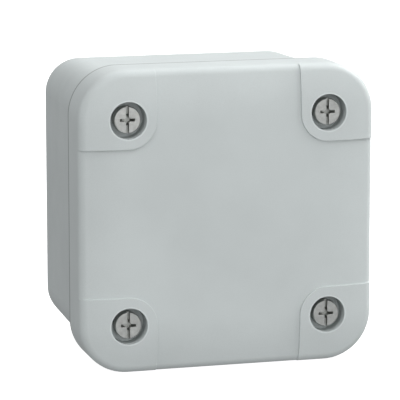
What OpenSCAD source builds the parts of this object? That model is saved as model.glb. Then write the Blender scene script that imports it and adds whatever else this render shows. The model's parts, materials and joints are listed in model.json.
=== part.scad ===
// Wall-mounted electrical junction box: a square moulded base, a screwed-down cover with a crowned
// front and raised corners, and a three-pole terminal block inside.
//
// Everything is drawn lying on its back: X to the right, Y up the wall, Z out of the wall.
// place() then stands it up, so the finished part has +Z up, its front facing -Y and its
// back on the plane Y = 0.

/* [Overall size] */
// Width and height of the square cover
cover_w = 74; // [72:1:120]
// Depth from the wall to the raised corners of the cover
box_depth = 54; // [50:1:90]
// Depth of the cover from the joint to the raised corners
cover_depth = 12.8; // [12.5:0.1:18]
// Gap that shows as a dark line between base and cover
joint_gap = 0.3; // [0.2:0.1:0.8]
// How far the cover stands out past the base on each side
overhang = 2.1; // [1:0.1:3]

/* [Cover shape] */
// Radius of the cover's corners, whose centres are also the screw axes
corner_r = 11.9; // [11.5:0.1:15]
// Slope of the crowned border where it meets the edge rounding, in degrees
crown_tilt = 12; // [8:1:30]
// Rounding between the crowned border and the side
edge_r = 2.1; // [1.5:0.1:4]
// Height of the raised corner patches
patch_h = 0.5; // [0.2:0.1:0.8]
// Reach of a corner patch from its screw axis towards the middle
patch_r = 7; // [7:0.1:9]
// Thickness of the cover's front
front_wall = 3; // [2.5:0.1:4]
// Thickness of the wall between the seal groove and the hollow
lip_wall = 1.5; // [1:0.1:2]

/* [Base shape] */
// Thickness of the side walls at the rim
wall = 2.4; // [2:0.1:3]
// Thickness of the floor
floor_t = 3; // [2:0.1:4]
// How much each side leans in from the rim to the wall
draft = 1; // [0.5:0.1:1.5]
// Radius of the round bosses that hold the threaded inserts
boss_r = 4.6; // [4:0.1:5]
// Width of the hollow behind each boss
core_w = 1.2; // [0.8:0.1:1.2]
// Rounding of the base's back edges
back_r = 3; // [1:0.1:3]

/* [Seal] */
// Width of the foam seal
seal_w = 1.7; // [1.2:0.1:2.4]
// Thickness of the foam seal when it is pressed
seal_t = 2.2; // [1.5:0.1:3]
// Height of the rim's tongue
tongue_h = 2.4; // [1.5:0.1:3]
// Width of the rim's tongue
tongue_w = 1.3; // [1:0.1:1.6]
// Distance from the hollow to the tongue
tongue_in = 0.5; // [0.3:0.1:0.8]
// Gap between the tongue and the seal
seal_gap = 0.1; // [0:0.05:0.3]
// Gap on each side of the tongue in the groove
groove_gap = 0.4; // [0.3:0.05:0.5]

/* [Cover screws] */
// Radius of the screw thread
screw_r = 2; // [1.75:0.05:2]
// Pitch of the screw thread
screw_pitch = 0.7; // [0.5:0.05:0.8]
// Turns that lift the screw clear of its insert
screw_turns = 7; // [7:1:8]
// Radius of the flat on top of the screw head
head_face_r = 3.1; // [2.9:0.05:3.4]
// Width of the bevel round the head
head_bevel = 0.2; // [0.1:0.05:0.5]
// Thickness of the screw head
head_t = 2.1; // [2:0.1:2.4]
// Depth of the head below the raised corner
head_sunk = 1.2; // [1:0.1:1.6]
// Radius of the recess that the head sits in
recess_r = 4.5; // [4.3:0.1:5]
// Width of the driver slot
slot_w = 0.7; // [0.5:0.1:1]
// Depth of the driver slot
slot_d = 0.9; // [0.5:0.1:1.2]
// Span of the cross in the head
cross_span = 3.8; // [3:0.1:4.6]
// Depth of the cross in the head
cross_d = 1.8; // [1:0.1:2]
// Radius of the middle of the cross
cross_r = 0.75; // [0.5:0.05:0.9]
// Radius of the screw's reduced neck
neck_r = 1.55; // [1.3:0.05:1.6]
// Length of the screw's reduced neck
neck_l = 2.4; // [1.5:0.1:4]
// Thread length in the insert when the cover is shut
thread_in = 4.5; // [4:0.1:4.8]
// Radius of the brass insert
insert_r = 2.8; // [2.6:0.1:3.2]
// Length of the brass insert
insert_l = 8; // [6:0.5:10]
// Depth of the grooves between the insert's bands
insert_groove = 0.35; // [0.2:0.05:0.4]
// Radius of the washer that keeps the screw in the cover
retainer_r = 3.4; // [3:0.1:3.5]
// Thickness of the washer that keeps the screw in the cover
retainer_t = 1; // [0.6:0.1:1.5]
// Thickness of the rubber ring under the head
oring_t = 1; // [0.8:0.1:1.4]

/* [Wall fixing] */
// Radius of the four holes for the wall screws
wall_hole_r = 2.25; // [2:0.05:2.5]
// Thickness of plastic under the wall screw's head
wall_hole_l = 4; // [3:0.5:5]
// Radius of the hollow for the wall screw's head
wall_sink_r = 4.5; // [4:0.1:5]
// Height of the wall fixing bosses
wall_boss_h = 9; // [8.5:0.5:12]
// Radius of the wall fixing bosses
wall_boss_r = 6; // [5.7:0.1:6.2]
// Length of the plug's stem
plug_l = 2; // [1.5:0.5:3]
// Thickness of the plug's cap
plug_cap_t = 1; // [0.8:0.1:1.5]

/* [Terminal block] */
// Distance from one pole to the next
pole_pitch = 8; // [7.6:0.1:9.6]
// Height of the pillars that carry the block
pillar_h = 5; // [4:0.5:8]
// Radius of those pillars
pillar_r = 4; // [3.5:0.1:4.5]
// Width of the block, from wire side to wire side
block_w = 20; // [19:0.5:24]
// Height of the block
block_h = 16; // [15.8:0.1:20]
// Length of each fixing foot
foot_l = 6.5; // [6:0.5:8]
// Thickness of each fixing foot
foot_t = 4; // [3:0.5:5]
// Thickness of the wall at each end of the block
end_wall = 0.6; // [0.6:0.1:1.5]
// Thickness of the walls the wires pass through
face_wall = 1.4; // [1:0.1:1.5]
// Radius of the block's fixing screws
fixing_r = 1.45; // [1.2:0.05:1.6]
// Length of the block's fixing screws under the head
fixing_l = 8; // [7:0.5:8]
// Thread pitch of those screws
fixing_pitch = 0.8; // [0.5:0.05:0.8]
// Radius of those screws' heads
fixing_head_r = 2.6; // [2.2:0.1:3]
// Thickness of those screws' heads
fixing_head_t = 1.8; // [1.4:0.1:2.2]
// Width of the opening in a clamp cage
cage_in_w = 4.4; // [4.2:0.1:5]
// Height of the opening in a clamp cage
cage_in_h = 4.8; // [4.7:0.1:6]
// Depth of a clamp cage along the wire
cage_d = 5; // [4:0.1:5.5]
// Thickness of a cage's walls
cage_t = 1; // [0.8:0.1:1.2]
// Thickness of the current bar
bar_t = 1.2; // [1:0.1:1.5]
// Thread radius of the clamp screws
clamp_r = 1.5; // [1.25:0.05:1.5]
// Thread pitch of the clamp screws
clamp_pitch = 0.5; // [0.4:0.05:0.5]
// Turns from open to shut
clamp_turns = 6; // [4:1:6]
// Radius of a clamp screw's head
clamp_head_r = 2.1; // [1.9:0.1:2.3]
// Width of the slots in the terminal screws
block_slot_w = 0.7; // [0.5:0.1:0.8]
// Depth of the slots in the terminal screws
block_slot_d = 0.9; // [0.5:0.1:1.1]
// Radius of the way in for a wire
wire_r = 2; // [1.5:0.1:2]

/* [Fits] */
// Running gap round screws, cages and washers
fit = 0.1; // [0.05:0.05:0.2]
// Seating gap round inserts and plugs
seat = 0.05; // [0.02:0.01:0.1]
// Free gap between pieces that pass each other
free_gap = 0.3; // [0.2:0.05:0.5]

/* [Hidden] */
$fn = 96;
eps = 0.01;
// How far a cutting shape runs past the face it cuts
over = 1;
corner_x = [-1, 1, -1, 1];
corner_y = [1, 1, -1, -1];

// Levels above the wall
cover_z = box_depth - cover_depth;
rim_z = cover_z - joint_gap;
front_z = box_depth - patch_h;
ceiling_z = front_z - front_wall;
tongue_z = rim_z + tongue_h;
groove_z = tongue_z + seal_gap + seal_t;
head_z = box_depth - head_sunk - head_t;
shoulder_z = head_z - oring_t - 2 * fit;
tip_z = rim_z - thread_in;
thread_z = rim_z + retainer_t;
retainer_z = thread_z + fit;
screw_travel = screw_turns * screw_pitch;
pocket_z = retainer_z + retainer_t + screw_travel + free_gap;

// Half widths from the middle
cover_half = cover_w / 2;
axis_c = cover_half - corner_r;
base_half = cover_half - overhang;
hollow_half = base_half - wall;
post_c = axis_c - patch_r;
head_r = head_face_r + head_bevel;
neck_hole_r = screw_r + free_gap;
hollow_corner_r = 0.5;
pocket_gap = 0.5;
pocket_wall = 1.3;
pocket_r = retainer_r + pocket_gap;
cover_core_r = pocket_r + pocket_wall;

// The raised corners stop just inside the sides, so that their edge runs out cleanly
patch_inset = 0.03;

// The crowned border starts level over the screw axes, so its radius follows from the corner's
function crown_radius(r) = (r - edge_r * (1 - sin(crown_tilt))) / sin(crown_tilt);

// Wall fixing holes, between the corner posts
boss_gap = 0.5;
wall_hole_x = post_c - wall_boss_r - boss_gap;
wall_hole_y = axis_c;
plug_bevel = 0.4;
plug_cap_r = wall_boss_r - plug_bevel;

// Terminal block: three poles and a foot at each end
poles = 3;
cell_floor = 1.5;
cell_roof = 0.4;
clamp_head_sunk = 0.5;
block_l = poles * pole_pitch + 2 * end_wall;
block_z = floor_t + pillar_h;
foot_x = block_l / 2 + foot_l / 2;
cage_w = cage_in_w + 2 * cage_t;
// The top of a cage is thicker than its sides, for the thread
cage_h = cage_in_h + 2.5 * cage_t;
clamp_travel = clamp_turns * clamp_pitch;
cell_z = block_z + cell_floor;
cage_z = cell_z + 2 * fit;
cell_top = cage_z + cage_h + clamp_travel + fit;
cage_y = block_w / 2 - face_wall - free_gap - fit - cage_d / 2;
bar_z = cage_z + cage_t + cage_in_h - fit - bar_t;
bar_w = cage_in_w - 2 * (fit + seat);
bar_l = 2 * cage_y + cage_d;
clamp_z = bar_z + bar_t + free_gap;
clamp_seat_z = cell_top + cell_roof;
clamp_head_z = clamp_seat_z + fit;
clamp_head_t = block_z + block_h - clamp_head_z - clamp_head_sunk;
wire_z = bar_z - wire_r - fit;

SCREWS = [for (i = [1:4]) str("cover_screw_", i)];
RETAINERS = [for (i = [1:4]) str("screw_retainer_", i)];
ORINGS = [for (i = [1:4]) str("screw_oring_", i)];
INSERTS = [for (i = [1:4]) str("screw_insert_", i)];
PLUGS = [for (i = [1:4]) str("wall_plug_", i)];
BARS = [for (i = [1:poles]) str("current_bar_", i)];
CAGES = [for (i = [1:2 * poles]) str("clamp_cage_", i)];
CLAMPS = [for (i = [1:2 * poles]) str("clamp_screw_", i)];
FIXINGS = [for (i = [1:2]) str("block_screw_", i)];

// Colours
shell_grey = [0.72, 0.745, 0.745];
foam_grey = [0.25, 0.26, 0.27];
steel = [0.66, 0.67, 0.66];
brass = [0.78, 0.62, 0.32];
rubber = [0.12, 0.12, 0.13];
nylon = [0.93, 0.93, 0.9];
plug_grey = [0.6, 0.62, 0.62];

// Stands a piece up on the wall
module place() rotate([90, 0, 0]) children();

// Puts a piece on corner i's screw axis: 1 and 2 at the top, 3 and 4 at the bottom
module on_axis(i) translate([corner_x[i - 1] * axis_c, corner_y[i - 1] * axis_c, 0]) children();

// Repeats a corner piece drawn in the upper right corner at all four corners
module four_corners()
    for (k = [0:3])
        rotate(90 * k) translate([axis_c, axis_c, 0]) children();

// A ring about the Z axis
module ring(r_in, r_out, z0, z1)
    translate([0, 0, z0]) difference() {
        cylinder(r = r_out, h = z1 - z0);
        translate([0, 0, -over]) cylinder(r = r_in, h = z1 - z0 + 2 * over);
    }

// A rectangle with round corners
module rounded_rect(w, h, r) {
    square([w - 2 * r, h], center = true);
    square([w, h - 2 * r], center = true);
    for (x = [-1, 1], y = [-1, 1])
        translate([x * (w / 2 - r), y * (h / 2 - r)]) circle(r = r);
}

// Outline of the hollow between the four corner posts, grown by g
module hollow_2d(g) {
    long = 2 * (hollow_half + g);
    short = 2 * (post_c + g);
    corner = hollow_corner_r + max(g, 0);
    difference() {
        union() {
            rounded_rect(long, short, corner);
            rounded_rect(short, long, corner);
            square(2 * axis_c, center = true);
        }
        for (i = [0:3])
            translate([corner_x[i] * axis_c, corner_y[i] * axis_c]) circle(r = patch_r - g);
    }
}

// A band that follows the hollow's outline from g0 to g1 outside it
module band(g0, g1, z0, z1)
    translate([0, 0, z0]) linear_extrude(z1 - z0) difference() {
        hollow_2d(g1);
        hollow_2d(g0);
    }

// Half section of the cover's side, X outwards from the screw axis line and Y up to the front
module crown_2d(top, r) {
    crown_r = crown_radius(r);
    reach = 3 * crown_r;
    slope = reach * [sin(crown_tilt), cos(crown_tilt)];
    crown_c = [0, top - crown_r];
    edge_c = crown_c + (crown_r - edge_r) * [sin(crown_tilt), cos(crown_tilt)];
    low = min(cover_z, crown_c[1]) - over;
    intersection() {
        translate([0, cover_z]) square([r, top - cover_z]);
        union() {
            intersection() {
                translate(crown_c) circle(r = crown_r);
                translate(crown_c) polygon([[0, 0], [0, reach], slope]);
            }
            intersection() {
                translate(edge_c) circle(r = edge_r);
                translate(edge_c) polygon([[0, 0], slope, [reach, 0]]);
            }
            polygon([[0, low], [r, low], [r, edge_c[1]], edge_c, crown_c]);
        }
    }
}

// The cover's outer form up to the level top, with corners of radius r about the screw axes
module cover_form(top, r) {
    for (k = [0:3]) rotate(90 * k) translate([axis_c, axis_c, 0]) {
        rotate_extrude(angle = 90) crown_2d(top, r);
        rotate([90, 0, 0]) linear_extrude(2 * axis_c) crown_2d(top, r);
    }
    translate([-axis_c, -axis_c, cover_z]) cube([2 * axis_c, 2 * axis_c, top - cover_z]);
}

// Area of one raised corner, drawn about the screw axis of the upper right corner
module patch_2d() {
    reach = corner_r + over;
    circle(r = patch_r);
    translate([-patch_r, 0]) square([patch_r + reach, reach]);
    translate([0, -patch_r]) square([reach, patch_r + reach]);
}

module cover() color(shell_grey) place() difference() {
    union() {
        cover_form(front_z, corner_r);
        intersection() {
            cover_form(box_depth, corner_r - patch_inset);
            four_corners() translate([0, 0, cover_z + cover_depth / 2])
                linear_extrude(cover_depth) patch_2d();
        }
    }
    // the hollow inside the lip
    translate([0, 0, cover_z - over]) linear_extrude(ceiling_z - cover_z + over) hollow_2d(-lip_wall);
    // the groove for the seal and the tongue
    band(tongue_in - groove_gap, tongue_in + tongue_w + groove_gap, cover_z - over, groove_z);
    four_corners() {
        // recess for the head
        translate([0, 0, shoulder_z]) cylinder(r = recess_r, h = box_depth);
        // hole for the screw
        translate([0, 0, cover_z - over]) cylinder(r = neck_hole_r, h = cover_depth);
        // pocket that the retaining washer rises in
        translate([0, 0, cover_z - over]) cylinder(r = pocket_r, h = pocket_z - cover_z + over);
        // cored corner outside the seal
        rotate_extrude(angle = 90) translate([cover_core_r, cover_z - over])
            square([corner_r - wall - cover_core_r, pocket_z - cover_z + over]);
    }
}

// Half section of the base's side, X outwards from the screw axis line and Y up from the wall
module base_side_2d() {
    out = base_half - axis_c;
    foot = out - draft;
    polygon([[0, 0], [foot - back_r, 0], [foot - back_r, back_r], [foot, back_r],
             [out, rim_z], [0, rim_z]]);
    translate([foot - back_r, back_r]) circle(r = back_r);
}

// The base's outer form: flat drafted sides and conical corners, with rounded back edges
module base_form() {
    for (k = [0:3]) rotate(90 * k) translate([axis_c, axis_c, 0]) {
        rotate_extrude(angle = 90) base_side_2d();
        rotate([90, 0, 0]) linear_extrude(2 * axis_c) base_side_2d();
    }
    translate([-axis_c, -axis_c, 0]) cube([2 * axis_c, 2 * axis_c, rim_z]);
}

// The base's hollow: a cross whose end walls are drafted like the outside
module base_hollow() {
    h = rim_z - floor_t + over;
    lean = draft * (rim_z - floor_t) / rim_z;
    half = [[0, 0], [hollow_half - lean, 0], [hollow_half + lean / h, h], [0, h]];
    for (k = [0:3]) rotate(90 * k)
        translate([0, post_c, floor_t]) rotate([90, 0, 0])
            linear_extrude(2 * post_c) polygon(half);
    translate([0, 0, floor_t]) linear_extrude(h) difference() {
        square(2 * axis_c, center = true);
        for (i = [0:3])
            translate([corner_x[i] * axis_c, corner_y[i] * axis_c]) circle(r = patch_r);
    }
}

module base_box() color(shell_grey) place() {
    difference() {
        union() {
            difference() {
                base_form();
                base_hollow();
            }
            band(tongue_in, tongue_in + tongue_w, rim_z - eps, tongue_z);
            for (x = [-1, 1]) translate([x * foot_x, 0, floor_t - eps])
                cylinder(r = pillar_r, h = pillar_h + eps);
            for (x = [-1, 1], y = [-1, 1])
                translate([x * wall_hole_x, y * wall_hole_y, floor_t - eps])
                    cylinder(r = wall_boss_r, h = wall_boss_h - floor_t + eps);
        }
        four_corners() {
            translate([0, 0, rim_z - insert_l]) cylinder(r = insert_r, h = insert_l + over);
            translate([0, 0, tip_z - insert_l]) cylinder(r = screw_r + fit, h = 2 * insert_l);
            rotate_extrude(angle = 90) translate([boss_r, -over])
                square([core_w, rim_z - tongue_h]);
        }
        for (x = [-1, 1], y = [-1, 1]) translate([x * wall_hole_x, y * wall_hole_y, 0]) {
            translate([0, 0, -over]) cylinder(r = wall_hole_r, h = wall_boss_h + 2 * over);
            translate([0, 0, wall_hole_l]) cylinder(r = wall_sink_r, h = wall_boss_h);
        }
        for (x = [-1, 1]) translate([x * foot_x, 0, block_z + foot_t - fixing_l - over])
            cylinder(r = fixing_r + fit, h = fixing_l + 2 * over);
    }
}

module cover_seal() color(foam_grey) place()
    band(tongue_in - (seal_w - tongue_w) / 2, tongue_in + (seal_w + tongue_w) / 2,
         groove_z - seal_t, groove_z);

// A threaded length about the Z axis, with one ridge for each pitch. Points go from root to
// crest and back, and their second number is a share of the pitch
module thread(r, pitch, z0, z1) {
    n = floor((z1 - z0) / pitch);
    start = z1 - n * pitch;
    root = r - 0.55 * pitch;
    rotate_extrude() polygon(concat(
        [[0, z0], [root, z0], [root, start]],
        [for (k = [0:n - 1], p = [[root, 0.05], [r, 0.45], [r, 0.55], [root, 0.95]])
            [p[0], start + (k + p[1]) * pitch]],
        [[root, z1], [0, z1]]));
}

module cover_screw(i) color(steel) place() on_axis(i) difference() {
    top = head_z + head_t;
    taper = cross_span / 4 / cross_d;
    union() {
        translate([0, 0, head_z]) cylinder(r = head_r, h = head_t - head_bevel);
        translate([0, 0, head_z + head_t - head_bevel])
            cylinder(r1 = head_r, r2 = head_face_r, h = head_bevel);
        translate([0, 0, thread_z - eps]) cylinder(r = neck_r, h = neck_l + 2 * eps);
        translate([0, 0, thread_z + neck_l])
            cylinder(r = screw_r, h = head_z - thread_z - neck_l + eps);
        thread(screw_r, screw_pitch, tip_z, thread_z);
    }
    // slot right across the head
    translate([-slot_w / 2, -head_r - over, top - slot_d])
        cube([slot_w, 2 * (head_r + over), slot_d + over]);
    // cross with tapered wings
    translate([0, 0, top - cross_d]) intersection() {
        union() {
            translate([-cross_span, -slot_w / 2, 0]) cube([2 * cross_span, slot_w, cross_d + over]);
            translate([-slot_w / 2, -cross_span, 0]) cube([slot_w, 2 * cross_span, cross_d + over]);
            cylinder(r = cross_r, h = cross_d + over);
        }
        cylinder(r1 = cross_span / 4, r2 = cross_span / 2 + taper * over, h = cross_d + over);
    }
}

module screw_retainer(i) color(nylon) place() on_axis(i)
    ring(neck_r + fit, retainer_r, retainer_z, retainer_z + retainer_t);

module screw_oring(i) color(rubber) place() on_axis(i)
    translate([0, 0, head_z - fit - oring_t / 2])
        rotate_extrude() translate([neck_hole_r + oring_t / 2 - fit, 0]) circle(r = oring_t / 2);

// A threaded insert with two raised bands, each a third of its length
module screw_insert(i) color(brass) place() on_axis(i) translate([0, 0, rim_z - insert_l])
    difference() {
        union() {
            cylinder(r = insert_r - insert_groove, h = insert_l);
            for (z = [0.1, 0.55]) translate([0, 0, z * insert_l])
                cylinder(r = insert_r - seat, h = insert_l / 3);
        }
        translate([0, 0, -over]) cylinder(r = screw_r + fit, h = insert_l + 2 * over);
    }

module wall_plug(i) color(plug_grey) place()
    translate([corner_x[i - 1] * wall_hole_x, corner_y[i - 1] * wall_hole_y, wall_boss_h]) {
        translate([0, 0, -plug_l]) cylinder(r = wall_sink_r - seat, h = plug_l + eps);
        cylinder(r = plug_cap_r, h = plug_cap_t - plug_bevel);
        translate([0, 0, plug_cap_t - plug_bevel])
            cylinder(r1 = plug_cap_r, r2 = plug_cap_r - plug_bevel, h = plug_bevel);
    }

// Middle of clamp k: 1 to 3 along the upper side, 4 to 6 along the lower side
function clamp_at(k) = [((k - 1) % poles - (poles - 1) / 2) * pole_pitch,
                        k <= poles ? cage_y : -cage_y, 0];

module terminal_housing() color(nylon) place() difference() {
    union() {
        translate([-block_l / 2, -block_w / 2, block_z]) cube([block_l, block_w, block_h]);
        translate([-block_l / 2 - foot_l, -foot_l / 2, block_z])
            cube([block_l + 2 * foot_l, foot_l, foot_t]);
    }
    for (k = [1:2 * poles]) translate(clamp_at(k)) {
        side = k <= poles ? 1 : -1;
        // cell that the cage rises in
        translate([-cage_w / 2 - fit, -cage_d / 2 - fit, cell_z])
            cube([cage_w + 2 * fit, cage_d + 2 * fit, cell_top - cell_z]);
        // hole for the screw and room for its head
        translate([0, 0, cell_top - over]) cylinder(r = clamp_r + fit, h = block_h);
        translate([0, 0, clamp_seat_z]) cylinder(r = clamp_head_r + free_gap, h = block_h);
        // way in for the wire, under the current bar
        translate([0, 0, wire_z]) rotate([-90 * side, 0, 0]) cylinder(r = wire_r, h = block_w);
    }
    // slots for the current bars
    for (k = [1:poles]) translate([clamp_at(k)[0], 0, bar_z - seat])
        translate([-bar_w / 2 - seat, -cage_y, 0]) cube([bar_w + 2 * seat, 2 * cage_y, bar_t + 2 * seat]);
    // holes in the feet
    for (x = [-1, 1]) translate([x * foot_x, 0, block_z - over])
        cylinder(r = fixing_r + fit, h = foot_t + 2 * over);
}

module current_bar(k) color(brass) place()
    translate([clamp_at(k)[0] - bar_w / 2, -bar_l / 2, bar_z]) cube([bar_w, bar_l, bar_t]);

module clamp_cage(k) color(steel) place() translate(clamp_at(k)) translate([0, 0, cage_z])
    difference() {
        translate([-cage_w / 2, -cage_d / 2, 0]) cube([cage_w, cage_d, cage_h]);
        translate([-cage_in_w / 2, -cage_d / 2 - over, cage_t])
            cube([cage_in_w, cage_d + 2 * over, cage_in_h]);
        translate([0, 0, cage_t + cage_in_h - over]) cylinder(r = clamp_r + fit, h = cage_h);
    }

module clamp_screw(k) color(steel) place() translate(clamp_at(k)) difference() {
    union() {
        thread(clamp_r, clamp_pitch, clamp_z, clamp_head_z);
        translate([0, 0, clamp_head_z]) cylinder(r = clamp_head_r, h = clamp_head_t);
    }
    translate([-clamp_head_r - over, -block_slot_w / 2, clamp_head_z + clamp_head_t - block_slot_d])
        cube([2 * (clamp_head_r + over), block_slot_w, block_slot_d + over]);
}

module block_screw(i) color(steel) place()
    translate([(i == 1 ? -1 : 1) * foot_x, 0, block_z + foot_t]) {
        difference() {
            cylinder(r = fixing_head_r, h = fixing_head_t);
            for (a = [0, 90]) rotate(a)
                translate([-fixing_r, -block_slot_w / 2, fixing_head_t - block_slot_d])
                    cube([2 * fixing_r, block_slot_w, block_slot_d + over]);
        }
        thread(fixing_r, fixing_pitch, -fixing_l, eps);
    }

base_box();
cover();
cover_seal();
terminal_housing();
for (i = [1:4]) cover_screw(i);
for (i = [1:4]) screw_retainer(i);
for (i = [1:4]) screw_oring(i);
for (i = [1:4]) screw_insert(i);
for (i = [1:4]) wall_plug(i);
for (k = [1:poles]) current_bar(k);
for (k = [1:2 * poles]) clamp_cage(k);
for (k = [1:2 * poles]) clamp_screw(k);
for (i = [1:2]) block_screw(i);
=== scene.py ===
"""Look of the wall-mounted junction box: materials, floor, light and camera round the CAD frame."""

import bpy
import json
import math
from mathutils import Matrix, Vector


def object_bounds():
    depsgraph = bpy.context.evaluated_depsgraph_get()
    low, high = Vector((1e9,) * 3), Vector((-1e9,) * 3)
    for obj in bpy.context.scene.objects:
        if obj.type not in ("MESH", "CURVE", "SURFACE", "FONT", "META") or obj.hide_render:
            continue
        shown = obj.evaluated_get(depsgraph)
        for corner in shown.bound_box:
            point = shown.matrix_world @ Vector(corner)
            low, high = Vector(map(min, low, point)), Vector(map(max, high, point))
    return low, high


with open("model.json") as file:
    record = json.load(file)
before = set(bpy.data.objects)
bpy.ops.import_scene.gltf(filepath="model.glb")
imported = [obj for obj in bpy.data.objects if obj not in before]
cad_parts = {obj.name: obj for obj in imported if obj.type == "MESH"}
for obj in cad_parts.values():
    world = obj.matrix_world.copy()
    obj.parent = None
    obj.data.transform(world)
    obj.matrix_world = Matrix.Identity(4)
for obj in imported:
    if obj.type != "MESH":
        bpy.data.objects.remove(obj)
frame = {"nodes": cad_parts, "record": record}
cad_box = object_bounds()
nodes = frame["nodes"]
MM = 0.001
WHITE = (1.0, 1.0, 1.0)

# Places on the box: the screw axes at plus and minus AXIS in X and Z, the joint line in Y, along
# which shade is painted, the radius of the painted highlight round each screw recess, and the level
# in Y that it lies in front of
AXIS = 25.1 * MM
JOINT_Y = -41.35 * MM
MOUTH_RADIUS = 4.68 * MM
FRONT_Y = -50 * MM

# ---------------------------------------------------------------- materials


class Shader:
    """A Principled material whose maps are built from object-space noise."""

    def __init__(self, name, color, roughness, metallic=0.0):
        self.mat = bpy.data.materials.new(name)
        self.mat.use_nodes = True
        self.tree = self.mat.node_tree
        self.tree.nodes.clear()
        out = self.add("ShaderNodeOutputMaterial")
        self.bsdf = self.add("ShaderNodeBsdfPrincipled")
        self.link(self.bsdf.outputs["BSDF"], out.inputs["Surface"])
        self.bsdf.inputs["Base Color"].default_value = (*color, 1.0)
        self.bsdf.inputs["Roughness"].default_value = roughness
        self.bsdf.inputs["Metallic"].default_value = metallic
        self.coord = self.add("ShaderNodeTexCoord").outputs["Object"]

    def add(self, kind, **props):
        node = self.tree.nodes.new(kind)
        for key, value in props.items():
            setattr(node, key, value)
        return node

    def link(self, a, b):
        self.tree.links.new(a, b)

    def noise(self, size, detail=2.0, roughness=0.5):
        """Noise between about 0 and 1 whose features are size metres across."""
        n = self.add("ShaderNodeTexNoise")
        self.link(self.coord, n.inputs["Vector"])
        n.inputs["Scale"].default_value = 1.0 / size
        n.inputs["Detail"].default_value = detail
        n.inputs["Roughness"].default_value = roughness
        return n.outputs["Fac"]

    def hollow(self, reach):
        """Near 1 in the open, falling to 0 deep in a hollow narrower than reach."""
        n = self.add("ShaderNodeAmbientOcclusion", samples=8)
        n.inputs["Distance"].default_value = reach
        return n.outputs["AO"]

    def ramp(self, fac, low, high, stops):
        """A colour between low and high as fac goes between the two stops."""
        n = self.add("ShaderNodeValToRGB")
        n.color_ramp.elements[0].position, n.color_ramp.elements[1].position = stops
        n.color_ramp.elements[0].color = (*low, 1.0)
        n.color_ramp.elements[1].color = (*high, 1.0)
        self.link(fac, n.inputs["Fac"])
        return n.outputs["Color"]

    def map(self, value, low, high, from_low=0.0, from_high=1.0):
        n = self.add("ShaderNodeMapRange")
        self.link(value, n.inputs["Value"])
        n.inputs["From Min"].default_value = from_low
        n.inputs["From Max"].default_value = from_high
        n.inputs["To Min"].default_value = low
        n.inputs["To Max"].default_value = high
        return n.outputs["Result"]

    def math(self, op, a, b):
        n = self.add("ShaderNodeMath", operation=op)
        for socket, value in zip(n.inputs, (a, b)):
            if isinstance(value, (int, float)):
                socket.default_value = value
            else:
                self.link(value, socket)
        return n.outputs["Value"]

    def mix(self, fac, a, b, blend="MIX"):
        """Mixes two colours; a and b are sockets or RGB triples."""
        n = self.add("ShaderNodeMix", data_type="RGBA", blend_type=blend)
        for socket, value in ((n.inputs[0], fac), (n.inputs[6], a), (n.inputs[7], b)):
            if isinstance(value, (int, float)):
                socket.default_value = value
            elif isinstance(value, tuple):
                socket.default_value = (*value, 1.0)
            else:
                self.link(value, socket)
        return n.outputs[2]

    def edges(self, radius, gain):
        """0 on flat faces, up to gain on edges sharper than radius."""
        bevel = self.add("ShaderNodeBevel", samples=4)
        bevel.inputs["Radius"].default_value = radius
        geometry = self.add("ShaderNodeNewGeometry")
        dot = self.add("ShaderNodeVectorMath", operation="DOT_PRODUCT")
        self.link(bevel.outputs["Normal"], dot.inputs[0])
        self.link(geometry.outputs["Normal"], dot.inputs[1])
        return self.map(dot.outputs["Value"], gain, 0.0, 0.85, 1.0)

    def split(self):
        """The X, Y and Z of the object-space position."""
        n = self.add("ShaderNodeSeparateXYZ")
        self.link(self.coord, n.inputs[0])
        return n.outputs

    def radius(self, axis):
        """Distance from the nearest of the four axes at X and Z of plus or minus axis."""
        xyz = self.split()
        x = self.math("SUBTRACT", self.math("ABSOLUTE", xyz["X"], 0.0), axis)
        z = self.math("SUBTRACT", self.math("ABSOLUTE", xyz["Z"], 0.0), axis)
        square = self.math("ADD", self.math("MULTIPLY", x, x), self.math("MULTIPLY", z, z))
        return self.math("SQRT", square, 0.0)

    def bump(self, height, distance, strength, round_edges):
        """Bumps of this height over normals rounded off at edges by round_edges metres."""
        n = self.add("ShaderNodeBump")
        n.inputs["Strength"].default_value = strength
        n.inputs["Distance"].default_value = distance
        self.link(height, n.inputs["Height"])
        bevel = self.add("ShaderNodeBevel", samples=6)
        bevel.inputs["Radius"].default_value = round_edges
        self.link(bevel.outputs["Normal"], n.inputs["Normal"])
        self.link(n.outputs["Normal"], self.bsdf.inputs["Normal"])

    def set(self, socket, value):
        self.link(value, self.bsdf.inputs[socket])


def joint_painted_shade(s, tone):
    """Paints shade: darkens tone in a narrow band along the joint between base and cover, where the
    shadow behind the cover's rear edge falls.
    """
    away = s.math("ABSOLUTE", s.math("SUBTRACT", s.split()["Y"], JOINT_Y), 0.0)
    # Painted shade: the colour falls to 0.4 times within 0.3 mm of the joint, fading out by 0.6 mm.
    painted_shade_band = s.map(away, 0.4, 1.0, 0.3 * MM, 0.6 * MM)
    dark = s.add("ShaderNodeCombineColor")
    for channel in dark.inputs[:3]:
        s.link(painted_shade_band, channel)
    return s.mix(1.0, tone, dark.outputs[0], "MULTIPLY")


def painted_mouth_highlight(s, tone, pale):
    """Paints a highlight: tone pale in a thin ring round each screw recess on the front, where
    light would catch the rounded mouth.
    """
    away = s.math("ABSOLUTE", s.math("SUBTRACT", s.radius(AXIS), MOUTH_RADIUS), 0.0)
    painted_highlight_ring = s.map(away, 0.55, 0.0, 0.05 * MM, 0.22 * MM)
    on_front = s.math("LESS_THAN", s.split()["Y"], FRONT_Y)
    return s.mix(s.math("MULTIPLY", painted_highlight_ring, on_front), tone, pale)


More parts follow.
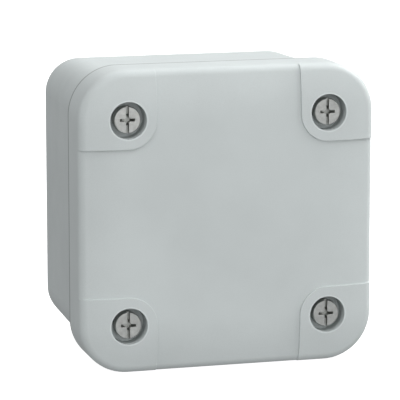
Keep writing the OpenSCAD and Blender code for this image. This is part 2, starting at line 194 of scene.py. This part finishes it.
def moulded(name, color, roughness, grain=0.35 * MM, depth=0.012 * MM, outside=False):
    """Moulded plastic: fine spark texture, slow drift in colour, rubbed edges."""
    s = Shader(name, color, roughness)
    drift = 0.03
    low = tuple(c * (1 - drift) for c in color)
    high = tuple(min(c * (1 + drift), 1.0) for c in color)
    tone = s.ramp(s.noise(22 * MM, 3), low, high, (0.35, 0.65))
    speck = s.ramp(s.noise(0.25 * MM, 1), (0.97, 0.97, 0.97), WHITE, (0.3, 0.6))
    tone = s.mix(1.0, tone, speck, "MULTIPLY")
    pale = tuple(min(c * 1.25 + 0.03, 1.0) for c in color)
    tone = s.mix(s.edges(0.22 * MM, 0.6), tone, pale)
    if outside:
        # On the outside shell: painted shade along the joint and a painted highlight round each
        # screw recess.
        tone = painted_mouth_highlight(s, joint_painted_shade(s, tone), pale)
    s.set("Base Color", tone)
    patchy = s.noise(6 * MM, 4, 0.6)
    s.set("Roughness", s.map(patchy, roughness - 0.05, roughness + 0.06, 0.3, 0.7))
    waves = s.math("MULTIPLY", s.noise(grain * 8, 2), 1.2)
    s.bump(s.math("ADD", s.noise(grain, 2, 0.6), waves), depth, 1.0, 0.16 * MM)
    return s.mat


def turned(name, color, roughness, axis):
    """Turned metal: fine rings about the four axes, painted shade in its slots and bright worn
    edges.
    """
    s = Shader(name, color, roughness, 1.0)
    low = tuple(c * 0.86 for c in color)
    high = tuple(min(c * 1.08, 1.0) for c in color)
    tone = s.ramp(s.noise(0.9 * MM, 3, 0.6), low, high, (0.3, 0.7))
    # Painted shade: the colour darkens to about 0.58 deep in the slot and cross recess, where shade
    # falls.
    painted_hollow_shade = s.ramp(s.hollow(1.2 * MM), (0.58, 0.59, 0.57), WHITE, (0.25, 0.85))
    tone = s.mix(1.0, tone, painted_hollow_shade, "MULTIPLY")
    worn = tuple(min(c * 1.6, 0.95) for c in color)
    s.set("Base Color", s.mix(s.edges(0.15 * MM, 0.9), tone, worn))
    fine = s.noise(0.35 * MM, 3)
    s.set("Roughness", s.map(fine, roughness - 0.06, roughness + 0.08, 0.3, 0.7))
    ring_pitch = 0.12 * MM
    rings = s.math("SINE", s.math("MULTIPLY", s.radius(axis), 2 * math.pi / ring_pitch), 0.0)
    height = s.math("ADD", rings, s.math("MULTIPLY", s.noise(0.2 * MM, 2), 2.0))
    s.bump(height, 0.002 * MM, 0.6, 0.18 * MM)
    return s.mat


SHELL = (0.545, 0.585, 0.583)
SCREW = (0.45, 0.46, 0.445)

materials = {
    "shell": moulded("shell", SHELL, 0.48, outside=True),
    "foam": moulded("foam", (0.05, 0.055, 0.06), 0.85, grain=0.5 * MM, depth=0.08 * MM),
    "steel": turned("steel", SCREW, 0.42, AXIS),
    "retainer": moulded("retainer", (0.72, 0.72, 0.68), 0.4),
    "rubber": moulded("rubber", (0.02, 0.02, 0.022), 0.55),
    "brass": turned("brass", (0.72, 0.5, 0.2), 0.28, AXIS),
    "plug": moulded("plug", (0.36, 0.38, 0.38), 0.5),
    "nylon": moulded("nylon", (0.78, 0.78, 0.73), 0.42),
    "plated_steel": turned("plated_steel", (0.6, 0.59, 0.55), 0.3, 0.0),
}

slot_of = {part["node"]: part["material_slot"] for part in frame["record"]["subparts"]}

for name, obj in nodes.items():
    obj.data.materials.clear()
    obj.data.materials.append(materials[slot_of[name]])

# ---------------------------------------------------------------- floor, light, camera

AIM = Vector((0, -0.03, 0))


def floor(size, z):
    """A pale plane that shows white and doesn't light the box."""
    mesh = bpy.data.meshes.new("floor")
    h = size / 2
    mesh.from_pydata([(-h, -h, z), (h, -h, z), (h, h, z), (-h, h, z)], [], [(0, 1, 2, 3)])
    obj = bpy.data.objects.new("floor", mesh)
    bpy.context.scene.collection.objects.link(obj)
    s = Shader("pale_floor", (0.4, 0.4, 0.4), 0.9)
    s.set("Base Color", s.ramp(s.noise(0.3, 2), (0.39, 0.39, 0.39), (0.41, 0.41, 0.41), (0.0, 1.0)))
    s.bsdf.inputs["Specular IOR Level"].default_value = 0.1
    s.bsdf.inputs["Emission Color"].default_value = (*WHITE, 1.0)
    s.bsdf.inputs["Emission Strength"].default_value = 0.92
    mesh.materials.append(s.mat)
    obj.visible_diffuse = False
    obj.visible_glossy = False


floor(size=30.0, z=cad_box[0][2])


def area(name, where, size, watts):
    """A square softbox at where, in metres, facing the middle of the box."""
    data = bpy.data.lights.new(name, "AREA")
    data.shape = "SQUARE"
    data.size = size
    data.energy = watts
    obj = bpy.data.objects.new(name, data)
    obj.location = where
    aim = AIM - Vector(where)
    obj.rotation_euler = aim.to_track_quat("-Z", "Y").to_euler()
    bpy.context.scene.collection.objects.link(obj)


area("key", (1.0, -0.1, 1.0), 1.0, 15.4)
area("right", (1.5, -0.1, 0.3), 0.9, 6.2)
area("front", (0.0, -1.6, 0.25), 1.0, 7.2)
area("rim_back_right", (0.9, 0.6, 0.8), 0.8, 5.6)
area("front_left", (-0.8, -0.8, 0.9), 0.8, 3.7)
area("back", (0.0, 0.9, 1.1), 1.0, 3.1)
area("left", (-1.0, -0.1, 1.0), 1.0, 1.8)
area("above_front", (0.0, -0.9, 1.1), 1.0, 1.7)
area("front_right", (1.1, -1.2, 0.3), 0.9, 1.7)

world = bpy.data.worlds.new("studio")
world.use_nodes = True
world.node_tree.nodes["Background"].inputs["Color"].default_value = (0.98, 0.99, 1.0, 1.0)
world.node_tree.nodes["Background"].inputs["Strength"].default_value = 0.383
bpy.context.scene.world = world

lens = bpy.data.cameras.new("camera")
lens.sensor_width = 36.0
lens.lens = 243.457
lens.clip_start = 0.05
lens.clip_end = 60.0
camera = bpy.data.objects.new("camera", lens)
AZIMUTH, ELEVATION, DISTANCE = math.radians(15.799), math.radians(10.401), 0.67498
target = Vector((-0.001251, -0.0319, 0.00091))
back = Vector((
    -math.sin(AZIMUTH) * math.cos(ELEVATION),
    -math.cos(AZIMUTH) * math.cos(ELEVATION),
    math.sin(ELEVATION),
))
camera.location = target + back * DISTANCE
camera.rotation_euler = (-back).to_track_quat("-Z", "Y").to_euler()
bpy.context.scene.collection.objects.link(camera)
bpy.context.scene.camera = camera
bpy.context.scene.view_settings.view_transform = "Standard"
bpy.context.scene.view_settings.look = "None"
